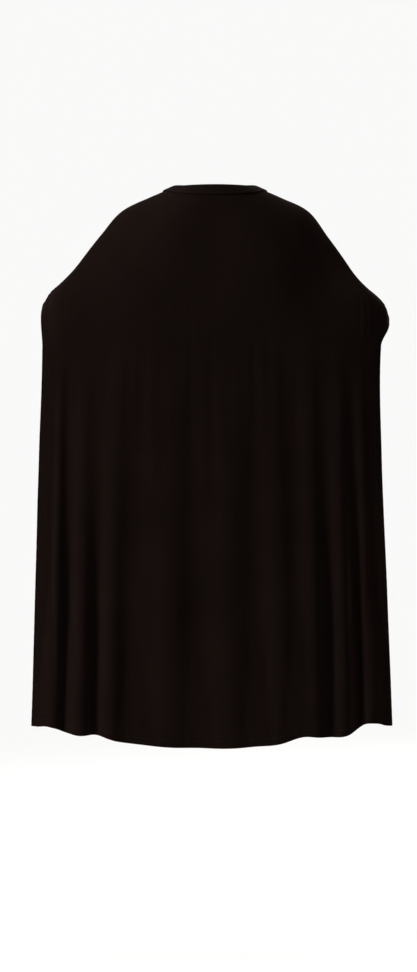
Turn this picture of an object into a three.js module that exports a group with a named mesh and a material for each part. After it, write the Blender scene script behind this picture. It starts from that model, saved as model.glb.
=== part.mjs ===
// A child's superhero cape, holding the shape it has when it hangs from the wearer's shoulders.
// Millimetres, +Z up. The origin is the centre of the neck opening, level with the nape.
// The back of the cape faces -Y and the throat closure faces +Y; the wearer's right is +X.
import * as THREE from 'three';

// ---------------------------------------------------------------- driving dimensions

const CLOTH = 1.0; // thickness that stands for one layer of cloth
const TRIM = 0.8; // thickness of a turned hem, a binding leg or the stay tape
const GAP = 0.35; // clearance between neighbouring layers
const THREAD_RADIUS = 0.3;
const NECK_COLUMNS = 48; // columns across the upper cape and its neck binding
const HEM_COLUMNS = 64; // columns across the lower cape and its hem

const NECK_HALF_WIDTH = 55;
const NECK_HALF_DEPTH = 50;
const THROAT_DROP = 34; // how far the throat lies below the nape
const THROAT_HALF_GAP = 8; // half the distance between the two ends of the neckline
const LAP_DEPTH = 6.5; // how far the right end of the neckline passes behind the left end

// How far each elbow pushes the cloth out, and how much lower than the left one it is held.
const LEFT_ARM = { reach: 209, drop: 0, flare: 4 };
const RIGHT_ARM = { reach: 217, drop: 18, flare: 0.5 };
const SPLIT_HALF_WIDTH = 206; // half the width just below the elbows
const HEM_HALF_WIDTH = 220;
const HEM_LEVEL = -683; // lowest point of the hem, at the centre back
const HEM_RISE = 25; // how far the hem's corners lie above that
const SIDE_SHIFT = -4; // the hanging cloth lies this far to the left of the neck
const SPLIT_LEVEL = -195; // level of the line about which the lower cape swings

const BINDING_BELOW = 10; // the binding covers this much cloth below the neckline
const BINDING_ABOVE = 4; // and stands this far above it
const HEM_WIDTH = 10;
const HEM_STITCH_INSET = 8;

const TAB_HEIGHT = 14;
const TAB_THICKNESS = 1.4;
const TAPE_HEIGHT = 11;
const TAPE_THICKNESS = 1.1;
const TAPE_SPACE = 1.6; // between the faces of the closed hook and loop tapes
const TAPE_SEAM_INSET = 1.5; // from a tape's border to its stitches
const TAB_CLEARANCE = 0.4; // further room between the binding and the left tab
const LABEL_WIDTH = 25;
const LABEL_LENGTH = 38;

// ---------------------------------------------------------------- materials

function cloth(colour, roughness) {
  return new THREE.MeshStandardMaterial({ color: colour, roughness, metalness: 0 });
}

const PANEL_CLOTH = cloth(0x130d0b, 0.85);
const BINDING_CLOTH = cloth(0x150f0d, 0.8);
const THREAD = cloth(0x140e0c, 0.7);
const STAY_TAPE = cloth(0x2a2626, 0.9);
const HOOK_TAPE = cloth(0x171717, 0.6);
const LOOP_TAPE = cloth(0x141312, 0.95);
const LABEL_SATIN = cloth(0xd9d6cf, 0.5);

// ---------------------------------------------------------------- the draped surface

// Nine rails run down the cloth: the centre back, then on each side the shoulder blade, the crest of
// the shoulder and arm, the front of it, and the free edge. KNOTS_DOWN is the distance down the cloth
// of each rail point: the neckline, six down to the elbow, the split line, and three in the hanging part.
const KNOTS_DOWN = [0, 32, 66, 102, 140, 176, 206, 236, 372, 550, 728];
const SPLIT_KNOT = 7;
const SPLIT_DOWN = KNOTS_DOWN[SPLIT_KNOT];
const HEM_DOWN = KNOTS_DOWN[KNOTS_DOWN.length - 1];
const RAIL_PLACES = [-1, -0.87, -0.72, -0.42, 0, 0.42, 0.72, 0.87, 1];

function hemLevel(across) {
  return HEM_LEVEL + HEM_RISE * across * across;
}

// The neckline at an angle in degrees from the nape.
function neckPoint(side, angle, lap) {
  const turn = THREE.MathUtils.degToRad(angle);
  const front = Math.max(0, angle - 90) / 90;
  const drop = THROAT_DROP * (1 - Math.cos(Math.PI * front)) / 2;
  return [
    side * NECK_HALF_WIDTH * Math.sin(turn),
    -(NECK_HALF_DEPTH - lap * front) * Math.cos(turn),
    -drop,
  ];
}

function hangingPoint(side, place, width, depth, level) {
  return [side * place * width, depth, level];
}

// The part of a rail below the split line, from its place across the cloth and its depth there.
function hangingKnots(side, place, depths) {
  const { flare } = side > 0 ? RIGHT_ARM : LEFT_ARM;
  const upper = SPLIT_HALF_WIDTH + flare;
  const middle = (SPLIT_HALF_WIDTH + HEM_HALF_WIDTH + flare) / 2;
  const hem = hemLevel(place);
  return [
    hangingPoint(side, place, SPLIT_HALF_WIDTH, depths[0], SPLIT_LEVEL),
    hangingPoint(side, place, upper, depths[1], SPLIT_LEVEL * 0.72 + hem * 0.28),
    hangingPoint(side, place, middle, depths[2], SPLIT_LEVEL * 0.36 + hem * 0.64),
    hangingPoint(side, place, HEM_HALF_WIDTH, depths[3], hem),
  ];
}

const CENTRE_RAIL = [
  neckPoint(1, 0, 0),
  [0, -61, -29],
  [0, -73, -60],
  [0, -84, -93],
  [0, -92, -127],
  [0, -97, -156],
  [0, -100, -176],
  ...hangingKnots(1, 0, [-101, -105, -109, -112]),
];

// The four rails of one side. An elbow's drop lowers the points on that arm.
function sideRails(side) {
  const { reach, drop } = side > 0 ? RIGHT_ARM : LEFT_ARM;
  const lap = side > 0 ? LAP_DEPTH : 0;
  const throatAngle = 180 - THREE.MathUtils.radToDeg(Math.asin(THROAT_HALF_GAP / NECK_HALF_WIDTH));
  const blade = [
    neckPoint(side, 42, lap),
    [side * 50, -50, -21],
    [side * 65, -64, -50],
    [side * 80, -76, -86],
    [side * 93, -85, -122],
    [side * 102, -91, -153],
    [side * 107, -95, -176],
    ...hangingKnots(side, 0.52, [-97, -101, -105, -108]),
  ];
  const crest = [
    neckPoint(side, 88, lap),
    [side * 83, -3, -11],
    [side * 115, -9, -28],
    [side * 138, -18, -56 - 0.2 * drop],
    [side * 164, -33, -93 - 0.3 * drop],
    [side * 182, -60, -128 - 0.4 * drop],
    [side * 183, -77, -160 - 0.4 * drop],
    ...hangingKnots(side, 0.86, [-86, -90, -92, -94]),
  ];
  const front = [
    neckPoint(side, 130, lap),
    [side * 66, 28, -28],
    [side * 100, 17, -41],
    [side * 129, 3, -65 - 0.2 * drop],
    [side * 161, -15, -97 - 0.3 * drop],
    [side * (reach - 10), -41, -128 - 0.6 * drop],
    [side * (reach - 7), -62, -157 - 0.8 * drop],
    ...hangingKnots(side, 0.94, [-81, -84, -86, -87]),
  ];
  const edge = [
    neckPoint(side, throatAngle, lap),
    [side * 25, 47 - lap, -60],
    [side * 68, 38, -74],
    [side * 110, 21, -84],
    [side * 152, -1, -104 - 0.2 * drop],
    [side * (reach - 9), -27, -134 - 0.6 * drop],
    [side * reach, -52, -152 - 0.9 * drop],
    ...hangingKnots(side, 1, [-76, -78, -80, -80]),
  ];
  return [blade, crest, front, edge];
}

const LEFT_RAILS = sideRails(-1).reverse();
const RIGHT_RAILS = sideRails(1);
const RAILS = [...LEFT_RAILS, CENTRE_RAIL, ...RIGHT_RAILS];

function smooth(from, to, value) {
  return THREE.MathUtils.smoothstep(value, from, to);
}

// A smooth curve through points at uneven knots (a cubic with finite-difference tangents).
function curveThrough(knots, points, at) {
  const last = knots.length - 1;
  let k = 0;
  while (k < last - 1 && at > knots[k + 1]) k += 1;
  const span = knots[k + 1] - knots[k];
  const t = (at - knots[k]) / span;
  const slope = (i, axis) => {
    const before = Math.max(0, i - 1);
    const after = Math.min(last, i + 1);
    return (points[after][axis] - points[before][axis]) / (knots[after] - knots[before]);
  };
  return [0, 1, 2].map((axis) => {
    const start = points[k][axis];
    const rise = points[k + 1][axis] - start;
    const m0 = slope(k, axis) * span;
    const m1 = slope(k + 1, axis) * span;
    return start + t * (m0 + t * (3 * rise - 2 * m0 - m1 + t * (m0 + m1 - 2 * rise)));
  });
}

// Vertical folds in the hanging cloth: place across at the hem, half width, and depth there.
const FOLDS = [
  { x: -204, width: 9, depth: 6 },
  { x: -167, width: 12, depth: 10 },
  { x: -128, width: 14, depth: 7 },
  { x: -62, width: 30, depth: 4 },
  { x: 20, width: 34, depth: 3 },
  { x: 84, width: 24, depth: 4 },
  { x: 124, width: 15, depth: 6 },
  { x: 160, width: 12, depth: 9 },
  { x: 196, width: 9, depth: 7 },
];
const FOLD_TOP = -230;
const FOLD_FULL = -620;
const FOLD_SPREAD = 0.1; // the folds stand this much closer together where they start

function foldDepth(x, z) {
  const grown = smooth(-FOLD_TOP, -FOLD_FULL, -z);
  const spread = 1 - FOLD_SPREAD * (1 - grown);
  let depth = 0;
  for (const fold of FOLDS) {
    const offset = (x - fold.x * spread) / fold.width;
    depth += fold.depth * Math.exp(-offset * offset);
  }
  return depth * grown;
}

// The middle of the cloth at a place across (-1 to 1) and a distance down from the neckline.
function surface(across, down) {
  const points = RAILS.map((rail) => curveThrough(KNOTS_DOWN, rail, down));
  const [x, y, z] = curveThrough(RAIL_PLACES, points, across);
  const shifted = x + SIDE_SHIFT * smooth(60, 180, -z);
  return new THREE.Vector3(shifted, y - foldDepth(shifted, z), z);
}

// The direction down the cloth, and the outward normal (away from the wearer).
function directions(across, down) {
  const step = 0.002;
  const reach = 0.5;
  const right = Math.min(1, across + step);
  const left = Math.max(-1, across - step);
  const low = Math.min(HEM_DOWN, down + reach);
  const high = Math.max(0, down - reach);
  const along = surface(right, down).sub(surface(left, down)).normalize();
  const fall = surface(across, low).sub(surface(across, high)).normalize();
  const out = fall.clone().cross(along).normalize();
  return { fall, out };
}

// A point a distance off the cloth; above the neckline the cloth is continued straight.
function offCloth(across, down, offset) {
  const onCloth = Math.max(0, down);
  const { fall, out } = directions(across, onCloth);
  return surface(across, onCloth).addScaledVector(fall, down - onCloth).addScaledVector(out, offset);
}

// The place across that lies a distance in from a free edge.
function inFromEdge(side, down, distance) {
  const probe = 0.02;
  const width = surface(side, down).distanceTo(surface(side * (1 - probe), down));
  return side * (1 - probe * distance / width);
}

// ---------------------------------------------------------------- solids

// A closed mesh from points and triangles, turned so that its faces point out.
function closedSolid(points, triangles) {
  let volume = 0;
  for (const [a, b, c] of triangles) {
    volume += points[a].dot(points[b].clone().cross(points[c]));
  }
  const index = volume > 0 ? triangles.flat() : triangles.map(([a, b, c]) => [a, c, b]).flat();
  const geometry = new THREE.BufferGeometry().setFromPoints(points);
  geometry.setIndex(index);
  geometry.computeVertexNormals();
  return geometry;
}

// A layer of cloth: place(a, b) with a and b from 0 to 1 gives [across, down], and the layer lies
// between two offsets from the middle of the panel.
function layer(columns, rows, place, inner, outer) {
  const points = [];
  for (const offset of [inner, outer]) {
    for (let r = 0; r <= rows; r += 1) {
      for (let c = 0; c <= columns; c += 1) {
        const [across, down] = place(c / columns, r / rows);
        points.push(offCloth(across, down, offset));
      }
    }
  }
  const sheet = (columns + 1) * (rows + 1);
  const at = (c, r) => r * (columns + 1) + c;
  const triangles = [];
  const quad = (a, b, c, d) => triangles.push([a, b, c], [a, c, d]);
  for (let r = 0; r < rows; r += 1) {
    for (let c = 0; c < columns; c += 1) {
      const corners = [at(c, r), at(c + 1, r), at(c + 1, r + 1), at(c, r + 1)];
      quad(...corners);
      quad(...corners.map((i) => i + sheet).reverse());
    }
  }
  const wall = (from, to) => quad(to, from, from + sheet, to + sheet);
  for (let c = 0; c < columns; c += 1) {
    wall(at(c, 0), at(c + 1, 0));
    wall(at(c + 1, rows), at(c, rows));
  }
  for (let r = 0; r < rows; r += 1) {
    wall(at(0, r + 1), at(0, r));
    wall(at(columns, r), at(columns, r + 1));
  }
  return closedSolid(points, triangles);
}

// A solid swept through stations, each a ring of points in the same order as the flat outline.
function sweep(outline, stations, isLoop = false) {
  const size = outline.length;
  const points = stations.flat();
  const triangles = [];
  const spans = isLoop ? stations.length : stations.length - 1;
  for (let s = 0; s < spans; s += 1) {
    const here = s * size;
    const there = ((s + 1) % stations.length) * size;
    for (let i = 0; i < size; i += 1) {
      const next = (i + 1) % size;
      triangles.push([here + i, here + next, there + next], [here + i, there + next, there + i]);
    }
  }
  if (!isLoop) {
    const end = (stations.length - 1) * size;
    const isClockwise = THREE.ShapeUtils.isClockWise(outline);
    for (const [a, b, c] of THREE.ShapeUtils.triangulateShape(outline, [])) {
      const flip = isClockwise === THREE.ShapeUtils.isClockWise([outline[a], outline[b], outline[c]]);
      const [p, q, r] = flip ? [a, b, c] : [a, c, b];
      triangles.push([p, r, q], [end + p, end + q, end + r]);
    }
  }
  return closedSolid(points, triangles);
}

// A square-section thread along a path of { point, up } stations.
function thread(path, isLoop = false) {
  const sides = 4;
  const outline = [];
  for (let i = 0; i < sides; i += 1) {
    const turn = 2 * Math.PI * i / sides;
    outline.push(new THREE.Vector2(Math.cos(turn), Math.sin(turn)).multiplyScalar(THREAD_RADIUS));
  }
  const stations = path.map(({ point, up }, i) => {
    const last = path.length - 1;
    const before = path[isLoop ? (i + last) % path.length : Math.max(0, i - 1)].point;
    const after = path[isLoop ? (i + 1) % path.length : Math.min(last, i + 1)].point;
    const run = after.clone().sub(before).normalize();
    const across = run.cross(up).normalize();
    return outline.map((o) => point.clone().addScaledVector(across, o.x).addScaledVector(up, o.y));
  });
  return sweep(outline, stations, isLoop);
}

// A thread lying on the cloth: place(a) gives [across, down].
function threadOnCloth(steps, place, offset) {
  const path = [];
  for (let i = 0; i <= steps; i += 1) {
    const [across, down] = place(i / steps);
    path.push({ point: offCloth(across, down, offset), up: directions(across, down).out });
  }
  return thread(path);
}

// ---------------------------------------------------------------- assembly

const cape = new THREE.Group();

function add(name, geometry, material, parent = cape) {
  const mesh = new THREE.Mesh(geometry, material);
  mesh.name = name;
  parent.add(mesh);
  return mesh;
}

const HALF = CLOTH / 2;
const TRIM_NEAR = HALF + GAP; // offset of the nearer face of a layer beside the panel
const TRIM_FAR = TRIM_NEAR + TRIM;
const EDGE_GAP = 1.2; // the cloth is bent most along its free edges, so more room is left there
const EDGE_HEM_NEAR = HALF + EDGE_GAP;
const THREAD_ON_PANEL = HALF + GAP + THREAD_RADIUS;
const THREAD_ON_EDGE = HALF + EDGE_GAP + THREAD_RADIUS;
const lerp = THREE.MathUtils.lerp;

// Evenly spaced levels down the cloth.
function spread(from, to, steps) {
  return Array.from({ length: steps + 1 }, (_, i) => lerp(from, to, i / steps));
}

// Levels shared by the panels and what is sewn to them, so that the layers' facets match.
const EDGE_UPPER_LEVELS = spread(BINDING_BELOW + 2 * GAP, SPLIT_DOWN - GAP / 2, 16);
const EDGE_LOWER_LEVELS = spread(SPLIT_DOWN + GAP / 2, HEM_DOWN - HEM_WIDTH - GAP, 8);
const UPPER_LEVELS = [0, BINDING_BELOW / 2, ...EDGE_UPPER_LEVELS];
const LOWER_LEVELS = [...EDGE_LOWER_LEVELS, HEM_DOWN];

// The cloth, cut at the split line.
function addPanels() {
  const panel = (levels) => (a, b) => [lerp(-1, 1, a), levels[Math.round(b * (levels.length - 1))]];
  const upper = layer(NECK_COLUMNS, UPPER_LEVELS.length - 1, panel(UPPER_LEVELS), -HALF, HALF);
  add('upper_cape_panel', upper, PANEL_CLOTH);
  const lower = layer(HEM_COLUMNS, LOWER_LEVELS.length - 1, panel(LOWER_LEVELS), -HALF, HALF);
  add('lower_cape_panel', lower, PANEL_CLOTH);
}

// A strip of cloth folded over the neckline, the stay tape inside it, and its stitching.
function addNeckBinding() {
  const tapeNear = -TRIM_NEAR;
  const tapeFar = -TRIM_FAR;
  const innerNear = tapeFar - GAP;
  const innerFar = innerNear - TRIM;
  const foldMiddle = (TRIM_FAR + innerFar) / 2;
  const half = BINDING_BELOW / 2;
  const outline = [
    [BINDING_BELOW, TRIM_NEAR],
    [BINDING_BELOW, TRIM_FAR],
    [half, TRIM_FAR],
    [1 - BINDING_ABOVE / 2, TRIM_FAR],
    [-BINDING_ABOVE, foldMiddle],
    [1 - BINDING_ABOVE / 2, innerFar],
    [half, innerFar],
    [BINDING_BELOW, innerFar],
    [BINDING_BELOW, innerNear],
    [half, innerNear],
    [-1, innerNear],
    [-1, TRIM_NEAR],
    [half, TRIM_NEAR],
  ];
  const flat = outline.map(([down, offset]) => new THREE.Vector2(down, offset));
  const rings = [];
  for (let i = 0; i <= NECK_COLUMNS; i += 1) {
    const across = lerp(-1, 1, i / NECK_COLUMNS);
    rings.push(outline.map(([down, offset]) => offCloth(across, down, offset)));
  }
  add('neck_binding', sweep(flat, rings), BINDING_CLOTH);
  const tape = (a, b) => [lerp(-1, 1, a), lerp(0, BINDING_BELOW - 1, b)];
  add('neck_stay_tape', layer(NECK_COLUMNS, 1, tape, tapeFar, tapeNear), STAY_TAPE);
  const seam = (a) => [lerp(-0.99, 0.99, a), BINDING_BELOW - 1.5];
  const seamOffset = TRIM_FAR + GAP + THREAD_RADIUS;
  add('neck_binding_stitching', threadOnCloth(NECK_COLUMNS, seam, seamOffset), THREAD);
}

// Cloth turned to the inside down both free edges, above and below the split line.
function addFreeEdgeHems() {
  const stretches = [
    { name: 'upper', levels: EDGE_UPPER_LEVELS },
    { name: 'lower', levels: EDGE_LOWER_LEVELS },
  ];
  for (const [sideName, side] of [['left', -1], ['right', 1]]) {
    for (const { name, levels } of stretches) {
      const steps = levels.length - 1;
      const hem = (a, b) => {
        const down = levels[Math.round(b * steps)];
        return [inFromEdge(side, down, lerp(GAP, HEM_WIDTH, a)), down];
      };
      const stitches = (a) => {
        const down = levels[Math.round(a * steps)];
        return [inFromEdge(side, down, HEM_STITCH_INSET), down];
      };
      const fold = layer(2, steps, hem, -EDGE_HEM_NEAR - TRIM, -EDGE_HEM_NEAR);
      add(`${sideName}_edge_hem_${name}`, fold, PANEL_CLOTH);
      const line = threadOnCloth(steps, stitches, THREAD_ON_EDGE);
      add(`${sideName}_edge_stitching_${name}`, line, THREAD);
    }
  }
}

// Cloth turned up to the inside along the bottom, and its row of stitches.
function addBottomHem() {
  const hem = (a, b) => [lerp(-1, 1, a), lerp(HEM_DOWN - HEM_WIDTH, HEM_DOWN, b)];
  const stitches = (a) => [lerp(-1, 1, a), HEM_DOWN - HEM_STITCH_INSET];
  add('bottom_hem', layer(HEM_COLUMNS, 1, hem, -TRIM_FAR, -TRIM_NEAR), PANEL_CLOTH);
  add('bottom_hem_stitching', threadOnCloth(HEM_COLUMNS, stitches, THREAD_ON_PANEL), THREAD);
}

// A flat piece standing in the X-Z plane, with rounded ends, from its inner to its outer face.
function standingPlate(left, right, height, corner, innerY, thickness, level) {
  const low = -height / 2;
  const high = height / 2;
  const shape = new THREE.Shape();
  shape.moveTo(left + corner, low);
  shape.lineTo(right - corner, low);
  shape.absarc(right - corner, low + corner, corner, -Math.PI / 2, 0);
  shape.lineTo(right, high - corner);
  shape.absarc(right - corner, high - corner, corner, 0, Math.PI / 2);
  shape.lineTo(left + corner, high);
  shape.absarc(left + corner, high - corner, corner, Math.PI / 2, Math.PI);
  shape.lineTo(left, low + corner);
  shape.absarc(left + corner, low + corner, corner, Math.PI, 1.5 * Math.PI);
  const plate = new THREE.ExtrudeGeometry(shape, {
    depth: thickness,
    bevelEnabled: false,
    curveSegments: 4,
  });
  plate.rotateX(Math.PI / 2);
  plate.translate(0, innerY + thickness, level);
  return plate;
}

// A rectangle of thread lying on a flat face that looks along Y.
function threadRectangle(left, right, height, y, level) {
  const up = new THREE.Vector3(0, 1, 0);
  const corners = [[left, -1], [right, -1], [right, 1], [left, 1]];
  const path = corners.map(([x, end]) => ({
    point: new THREE.Vector3(x, y, level + end * height / 2),
    up,
  }));
  return thread(path, true);
}

// Two tabs at the throat. The right one carries the loop tape on its outer face, and the left one
// laps over it with the hook tape on its inner face.
function addClosure() {
  const level = -THROAT_DROP - (BINDING_BELOW - BINDING_ABOVE) / 2;
  const bindingFace = NECK_HALF_DEPTH + TRIM_FAR + GAP;
  const leftTabInner = bindingFace + TAB_CLEARANCE;
  const hookInner = leftTabInner - GAP - TAPE_THICKNESS;
  const loopInner = hookInner - TAPE_SPACE - TAPE_THICKNESS;
  const rightTabInner = loopInner - GAP - TAB_THICKNESS;
  const inset = TAPE_SEAM_INSET;

  const leftTab = standingPlate(-22, 26, TAB_HEIGHT, 3, leftTabInner, TAB_THICKNESS, level);
  add('left_closure_tab', leftTab, BINDING_CLOTH);
  const hook = standingPlate(-5, 23, TAPE_HEIGHT, 1.5, hookInner, TAPE_THICKNESS, level);
  add('hook_tape', hook, HOOK_TAPE);
  const hookFace = hookInner - GAP - THREAD_RADIUS;
  const hookStitches = threadRectangle(-5 + inset, 23 - inset, TAPE_HEIGHT - 2 * inset, hookFace, level);
  add('hook_tape_stitching', hookStitches, THREAD);

  const rightTab = standingPlate(-6, 24, TAB_HEIGHT, 3, rightTabInner, TAB_THICKNESS, level);
  add('right_closure_tab', rightTab, BINDING_CLOTH);
  const loop = standingPlate(-4, 22, TAPE_HEIGHT, 1.5, loopInner, TAPE_THICKNESS, level);
  add('loop_tape', loop, LOOP_TAPE);
  const loopFace = loopInner + TAPE_THICKNESS + GAP + THREAD_RADIUS;
  const loopStitches = threadRectangle(-1, 19, TAPE_HEIGHT - 5 * inset / 2, loopFace, level);
  add('loop_tape_stitching', loopStitches, THREAD);
}

// A blank satin label, folded double, hanging inside the nape, and the thread across its top.
function addCareLabel() {
  const ply = 0.5;
  const fold = 0.4; // space between the two plies
  const backY = -NECK_HALF_DEPTH + 4.4;
  const top = -5;
  const bottom = top - LABEL_LENGTH;
  const shape = new THREE.Shape();
  shape.moveTo(0, 0);
  shape.lineTo(0, -LABEL_LENGTH);
  shape.lineTo(2 * ply + fold, -LABEL_LENGTH);
  shape.lineTo(2 * ply + fold, 0);
  shape.lineTo(ply + fold, 0);
  shape.lineTo(ply + fold, ply - LABEL_LENGTH);
  shape.lineTo(ply, ply - LABEL_LENGTH);
  shape.lineTo(ply, 0);
  const label = new THREE.ExtrudeGeometry(shape, { depth: LABEL_WIDTH, bevelEnabled: false });
  label.rotateX(Math.PI / 2);
  label.rotateZ(Math.PI / 2);
  label.translate(-LABEL_WIDTH / 2, backY, top);
  add('care_label', label, LABEL_SATIN);
  const face = backY + 2 * ply + fold + GAP + THREAD_RADIUS;
  const up = new THREE.Vector3(0, 1, 0);
  const path = [-1, 1].map((end) => ({
    point: new THREE.Vector3(end * (LABEL_WIDTH / 2 - 1), face, top - 2),
    up,
  }));
  add('care_label_stitching', thread(path), THREAD);
}

addPanels();
addNeckBinding();
addFreeEdgeHems();
addBottomHem();
addClosure();
addCareLabel();

export default cape;
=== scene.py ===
import math
import random

import bmesh
import bpy
import numpy as np
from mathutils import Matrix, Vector, noise


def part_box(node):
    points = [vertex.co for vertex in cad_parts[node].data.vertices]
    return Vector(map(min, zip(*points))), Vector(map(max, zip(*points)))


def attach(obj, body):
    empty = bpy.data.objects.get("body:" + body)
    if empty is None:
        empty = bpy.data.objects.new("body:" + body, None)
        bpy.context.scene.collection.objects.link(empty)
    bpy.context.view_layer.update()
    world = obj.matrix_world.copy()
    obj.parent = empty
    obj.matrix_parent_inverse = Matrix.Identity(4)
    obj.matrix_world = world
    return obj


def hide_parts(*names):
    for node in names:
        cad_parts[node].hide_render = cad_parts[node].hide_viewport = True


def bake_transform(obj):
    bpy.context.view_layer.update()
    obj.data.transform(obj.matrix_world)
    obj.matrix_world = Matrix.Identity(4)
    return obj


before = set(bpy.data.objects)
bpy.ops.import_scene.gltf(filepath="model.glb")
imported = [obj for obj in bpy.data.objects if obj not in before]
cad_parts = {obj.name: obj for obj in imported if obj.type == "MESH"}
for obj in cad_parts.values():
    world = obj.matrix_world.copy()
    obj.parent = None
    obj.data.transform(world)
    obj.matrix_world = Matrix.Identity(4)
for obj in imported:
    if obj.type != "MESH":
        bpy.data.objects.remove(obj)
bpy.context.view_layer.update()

# A child's thin black superhero cape, hanging as it is worn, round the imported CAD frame.
# Metres, +Z up. The back of the cape faces -Y, and the photograph's camera stands behind it.

MM = 0.001
TINY = 1e-12  # keeps a length that is divided by above zero
SHOULDERS, HANGING, TAB, LABEL = "shoulder_cape", "hanging_cape", "closure_tab", "label"


# ---- camera and stage

CAMERA_DISTANCE = 4.5
CAMERA_HEIGHT = -0.25
AIM = Vector((-0.008, 0.0, -0.367))
METRES_PER_PIXEL = 0.00124
FRAME_HEIGHT_PIXELS = 972
SENSOR = 36.0
FLOOR_LEVEL = -0.949  # where the wearer's soles would be
FLOOR_RADIUS = 9.0
FLOOR_COLOUR = (0.80, 0.80, 0.79, 1)
FLOOR_FADE = (0.7, 3.2)  # from and to which distance the floor fades out
SURROUNDINGS_COLOUR = (0.95, 0.95, 0.945, 1)
WORLD_SHOWN = 1.0
WORLD_LIGHT = 0.06
LAMP_AIM = Vector((0, -0.05, -0.38))

# The studio's lamps: name, place, diameter and power. The last two light the front of the cape.
LAMPS = [
    ("key", (-3.0, -1.7, 1.1), 1.1, 150),
    ("fill", (2.6, -2.6, 0.6), 2.0, 13),
    ("top", (0.1, 0.2, 3.0), 3.2, 62),
    ("front_key", (1.9, 3.0, 1.0), 1.2, 150),
    ("front_fill", (-2.6, 2.6, 0.6), 2.0, 40),
]


def add_object(name, data):
    made = bpy.data.objects.new(name, data)
    bpy.context.scene.collection.objects.link(made)
    return made


def discard(piece):
    mesh = piece.data
    bpy.data.objects.remove(piece)
    bpy.data.meshes.remove(mesh)


def make_camera():
    data = bpy.data.cameras.new("camera")
    camera = add_object("camera", data)
    camera.location = Vector((AIM.x, -CAMERA_DISTANCE, CAMERA_HEIGHT))
    sight = AIM - camera.location
    camera.rotation_euler = sight.to_track_quat("-Z", "Y").to_euler()
    data.sensor_width = SENSOR
    data.lens = sight.length * SENSOR / (METRES_PER_PIXEL * FRAME_HEIGHT_PIXELS)
    data.clip_start = 0.05
    data.clip_end = 100
    bpy.context.scene.camera = camera


def make_lights():
    for name, place, diameter, power in LAMPS:
        data = bpy.data.lights.new(name, "AREA")
        data.shape = "DISK"
        data.size = diameter
        data.energy = power
        lamp = add_object(name, data)
        lamp.location = place
        lamp.rotation_euler = (LAMP_AIM - Vector(place)).to_track_quat("-Z", "Y").to_euler()


def make_world():
    """Plain pale surroundings for the camera, and a fainter white light on the object."""
    world = bpy.data.worlds.new("studio")
    bpy.context.scene.world = world
    world.use_nodes = True
    nodes, links = world.node_tree.nodes, world.node_tree.links
    nodes.clear()
    mix = nodes.new("ShaderNodeMixShader")
    links.new(nodes.new("ShaderNodeLightPath").outputs["Is Camera Ray"], mix.inputs[0])
    sides = [(WORLD_LIGHT, (1, 1, 1, 1)), (WORLD_SHOWN, SURROUNDINGS_COLOUR)]
    for socket, (strength, colour) in enumerate(sides, 1):
        side = nodes.new("ShaderNodeBackground")
        side.inputs["Strength"].default_value = strength
        side.inputs["Color"].default_value = colour
        links.new(side.outputs[0], mix.inputs[socket])
    links.new(mix.outputs[0], nodes.new("ShaderNodeOutputWorld").inputs["Surface"])


def make_floor():
    """A pale floor that fades into the pale surroundings with distance."""
    mesh = bpy.data.meshes.new("floor")
    build = bmesh.new()
    bmesh.ops.create_circle(build, cap_ends=True, radius=FLOOR_RADIUS, segments=96)
    build.to_mesh(mesh)
    build.free()
    floor = add_object("floor", mesh)
    floor.location.z = FLOOR_LEVEL
    surface = Surface("pale_floor", {
        "Base Color": FLOOR_COLOUR,
        "Roughness": 0.6,
        "Specular IOR Level": 0.2,
    })
    distance = surface.nodes.new("ShaderNodeVectorMath")
    distance.operation = "LENGTH"
    surface.feed(distance, 0, surface.place())
    fade = surface.ranged(distance.outputs["Value"], *MASK, FLOOR_FADE)
    fade.node.interpolation_type = "SMOOTHSTEP"
    clear = surface.nodes.new("ShaderNodeBsdfTransparent")
    mix = surface.nodes.new("ShaderNodeMixShader")
    for socket, source in enumerate((fade, surface.shader.outputs[0], clear.outputs[0])):
        surface.feed(mix, socket, source)
    surface.feed(surface.nodes["Material Output"], "Surface", mix.outputs[0])
    mesh.materials.append(surface.material)


# ---- the draped surface

# The same rails as the CAD cape, in millimetres: nine curves down the cloth, from the neckline over
# the shoulders and arms to the split line, and from there straight down to the hem.
NECK_HALF_WIDTH = 55
NECK_HALF_DEPTH = 50
THROAT_DROP = 34
THROAT_HALF_GAP = 8
LAP_DEPTH = 6.5
LEFT_ARM = {"side": -1, "reach": 209, "drop": 0, "flare": 4, "lap": 0}
RIGHT_ARM = {"side": 1, "reach": 217, "drop": 18, "flare": 0.5, "lap": LAP_DEPTH}
SPLIT_HALF_WIDTH = 206
HEM_HALF_WIDTH = 220
HEM_LEVEL = -683
HEM_RISE = 25
SIDE_SHIFT = -4  # how far the hanging cloth lies to the wearer's left of the neck
SHIFT_DEPTHS = (60, 180)  # between which depths below the nape it moves over
SPLIT_LEVEL = -195
KNOTS_DOWN = [0, 32, 66, 102, 140, 176, 206, 236, 372, 550, 728]
HEM_DOWN = KNOTS_DOWN[-1]
FALL_SHARES = (0, 0.28, 0.64, 1)  # how far from the split line to the hem a rail's last knots lie
RAIL_PLACES = [-1, -0.87, -0.72, -0.42, 0, 0.42, 0.72, 0.87, 1]

# Folds in the hanging cloth: place across at the hem, half width, and depth there.
FOLDS = [
    (-204, 9, 6), (-167, 12, 10), (-128, 14, 7), (-62, 30, 4), (20, 34, 3),
    (84, 24, 4), (124, 15, 6), (160, 12, 9), (196, 9, 7),
]
FOLD_TOP = -230
FOLD_FULL = -620
FOLD_SPREAD = 0.1

# The valleys that deepen between the outer folds: place across, half width, and depth inwards.
VALLEYS = [(-185, 8, 4), (-147, 9, 6.5), (141, 9, 4.5), (177, 8, 7)]

# Where the folds draw the hem up into shallow scallops: place across, half width, and rise.
SCALLOPS = [(-202, 14, 4), (-142, 22, 5), (110, 26, 7), (190, 17, 10)]


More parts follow.
